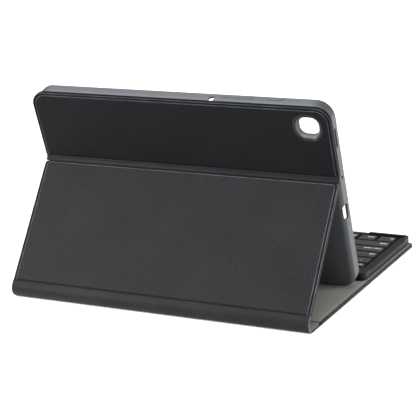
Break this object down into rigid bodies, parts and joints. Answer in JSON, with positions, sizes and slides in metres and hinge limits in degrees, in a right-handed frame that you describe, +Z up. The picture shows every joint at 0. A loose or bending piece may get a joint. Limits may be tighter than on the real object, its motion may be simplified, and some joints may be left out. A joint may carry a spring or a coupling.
{
  "type": "tablet keyboard case",
  "caption": "Folding leather-look case that stands a tablet up in a flexible tray, with a thin magnetic keyboard on its front panel.",
  "frame": {"origin": "middle of the footprint on the table, with the case standing open", "axes": "+X to the right of the person typing, +Y away from them towards the spine, +Z up"},
  "size_m": [0.251, 0.2192, 0.1574],
  "materials": {
    "cover_leather": "fine-grained synthetic leather, satin",
    "stand_leather": "fine-grained synthetic leather, satin",
    "microfibre": "short-nap microfibre lining",
    "greyboard": "dense grey board",
    "bond": "double-sided bonding sheet",
    "tray_tpu": "matt flexible TPU",
    "magnet": "nickel plated",
    "case_abs": "fine-textured ABS",
    "key_abs": "fine-textured ABS with white legends",
    "ring_black": "black trim",
    "grid_black": "black",
    "plate_steel": "pressed sheet",
    "membrane_film": "printed film",
    "silicone": "translucent silicone",
    "scissor_pom": "white acetal",
    "circuit": "solder mask",
    "cell_foil": "pouch foil",
    "port_steel": "plated shell",
    "switch_black": "black",
    "lens_clear": "milky light pipe",
    "screw_steel": "black zinc",
    "foot_rubber": "soft rubber"
  },
  "bodies": {
    "front_cover": {"front_skin": "cover_leather", "front_board": "greyboard", "front_lining": "microfibre", "cover_magnets": "magnet"},
    "spine": {"spine_skin": "stand_leather", "spine_lining": "microfibre"},
    "stand_panel": {"stand_skin": "stand_leather", "stand_board": "greyboard", "stand_lining": "microfibre"},
    "tray": {"back_skin": "cover_leather", "back_board": "greyboard", "bonding_sheet": "bond", "camera_ring": "ring_black", "tray_back": "tray_tpu", "tray_left_wall": "tray_tpu", "tray_right_wall": "tray_tpu", "tray_top_wall": "tray_tpu", "tray_bottom_wall": "tray_tpu", "tray_corners": "tray_tpu", "tray_lip": "tray_tpu"},
    "volume_pad": {"volume_pad": "tray_tpu"},
    "power_pad": {"power_pad": "tray_tpu"},
    "keyboard": {"bottom_case": "case_abs", "top_frame": "case_abs", "key_grid": "grid_black", "support_plate": "plate_steel", "switch_membrane": "membrane_film", "rubber_domes": "silicone", "scissor_frames": "scissor_pom", "main_board": "circuit", "battery": "cell_foil", "charging_port": "port_steel", "indicator_lenses": "lens_clear", "keyboard_magnets": "magnet", "case_screws": "screw_steel", "rubber_feet": "foot_rubber"},
    "power_switch": {"power_switch": "switch_black"},
    "pairing_button": {"pairing_button": "switch_black"},
    "escape_key": {"escape_key": "key_abs"},
    "function_row_keys": {"function_row_keys": "key_abs"},
    "grave_key": {"grave_key": "key_abs"},
    "number_row_keys": {"number_row_keys": "key_abs"},
    "backspace_key": {"backspace_key": "key_abs"},
    "tab_key": {"tab_key": "key_abs"},
    "upper_row_keys": {"upper_row_keys": "key_abs"},
    "caps_lock_key": {"caps_lock_key": "key_abs"},
    "home_row_keys": {"home_row_keys": "key_abs"},
    "enter_key": {"enter_key": "key_abs"},
    "left_shift_key": {"left_shift_key": "key_abs"},
    "lower_row_keys": {"lower_row_keys": "key_abs"},
    "right_shift_key": {"right_shift_key": "key_abs"},
    "modifier_keys": {"modifier_keys": "key_abs"},
    "space_bar": {"space_bar": "key_abs"},
    "arrow_keys": {"arrow_keys": "key_abs"}
  },
  "joints": [
    {"name": "spine_base_hinge", "type": "hinge", "parent": "front_cover", "child": "spine", "pos_m": [0, 0.1026, 0.00065], "axis": [-1, 0, 0], "range_deg": [0, 62.95]},
    {"name": "stand_hinge", "type": "hinge", "parent": "spine", "child": "stand_panel", "pos_m": [0, 0.10774, 0.01072], "axis": [-1, 0, 0], "range_deg": [0, 62.96]},
    {"name": "fold_hinge", "type": "hinge", "parent": "stand_panel", "child": "tray", "pos_m": [0, 0.04594, 0.09721], "axis": [1, 0, 0], "range_deg": [0, 52.41]},
    {"name": "keyboard_lift", "type": "slide", "parent": "front_cover", "child": "keyboard", "axis": [0, 0, 1], "range_m": [0, 0.06]},
    {"name": "volume_press", "type": "slide", "parent": "tray", "child": "volume_pad", "axis": [0, -0.284, -0.9588], "range_m": [0, 0.0004], "stiffness_N_per_m": 4000},
    {"name": "power_press", "type": "slide", "parent": "tray", "child": "power_pad", "axis": [0, -0.284, -0.9588], "range_m": [0, 0.0004], "stiffness_N_per_m": 4000},
    {"name": "switch_slide", "type": "slide", "parent": "keyboard", "child": "power_switch", "axis": [0, 1, 0], "range_m": [0, 0.002]},
    {"name": "pairing_press", "type": "slide", "parent": "keyboard", "child": "pairing_button", "axis": [0, 0, -1], "range_m": [0, 0.0003], "stiffness_N_per_m": 2000},
    {"name": "escape_press", "type": "slide", "parent": "keyboard", "child": "escape_key", "axis": [0, 0, -1], "range_m": [0, 0.0011], "stiffness_N_per_m": 500},
    {"name": "function_row_press", "type": "slide", "parent": "keyboard", "child": "function_row_keys", "axis": [0, 0, -1], "range_m": [0, 0.0011], "stiffness_N_per_m": 2500},
    {"name": "grave_press", "type": "slide", "parent": "keyboard", "child": "grave_key", "axis": [0, 0, -1], "range_m": [0, 0.0011], "stiffness_N_per_m": 500},
    {"name": "number_row_press", "type": "slide", "parent": "keyboard", "child": "number_row_keys", "axis": [0, 0, -1], "range_m": [0, 0.0011], "stiffness_N_per_m": 2500},
    {"name": "backspace_press", "type": "slide", "parent": "keyboard", "child": "backspace_key", "axis": [0, 0, -1], "range_m": [0, 0.0011], "stiffness_N_per_m": 500},
    {"name": "tab_press", "type": "slide", "parent": "keyboard", "child": "tab_key", "axis": [0, 0, -1], "range_m": [0, 0.0011], "stiffness_N_per_m": 500},
    {"name": "upper_row_press", "type": "slide", "parent": "keyboard", "child": "upper_row_keys", "axis": [0, 0, -1], "range_m": [0, 0.0011], "stiffness_N_per_m": 2500},
    {"name": "caps_lock_press", "type": "slide", "parent": "keyboard", "child": "caps_lock_key", "axis": [0, 0, -1], "range_m": [0, 0.0011], "stiffness_N_per_m": 500},
    {"name": "home_row_press", "type": "slide", "parent": "keyboard", "child": "home_row_keys", "axis": [0, 0, -1], "range_m": [0, 0.0011], "stiffness_N_per_m": 2500},
    {"name": "enter_press", "type": "slide", "parent": "keyboard", "child": "enter_key", "axis": [0, 0, -1], "range_m": [0, 0.0011], "stiffness_N_per_m": 500},
    {"name": "left_shift_press", "type": "slide", "parent": "keyboard", "child": "left_shift_key", "axis": [0, 0, -1], "range_m": [0, 0.0011], "stiffness_N_per_m": 500},
    {"name": "lower_row_press", "type": "slide", "parent": "keyboard", "child": "lower_row_keys", "axis": [0, 0, -1], "range_m": [0, 0.0011], "stiffness_N_per_m": 2500},
    {"name": "right_shift_press", "type": "slide", "parent": "keyboard", "child": "right_shift_key", "axis": [0, 0, -1], "range_m": [0, 0.0011], "stiffness_N_per_m": 500},
    {"name": "modifier_press", "type": "slide", "parent": "keyboard", "child": "modifier_keys", "axis": [0, 0, -1], "range_m": [0, 0.0011], "stiffness_N_per_m": 2500},
    {"name": "space_bar_press", "type": "slide", "parent": "keyboard", "child": "space_bar", "axis": [0, 0, -1], "range_m": [0, 0.0011], "stiffness_N_per_m": 500},
    {"name": "arrow_press", "type": "slide", "parent": "keyboard", "child": "arrow_keys", "axis": [0, 0, -1], "range_m": [0, 0.0011], "stiffness_N_per_m": 2500}
  ],
  "couplings": [
    {"joint": "stand_hinge", "follows": "spine_base_hinge", "ratio": 1},
    {"joint": "fold_hinge", "follows": "spine_base_hinge", "ratio": 0.83241}
  ]
}
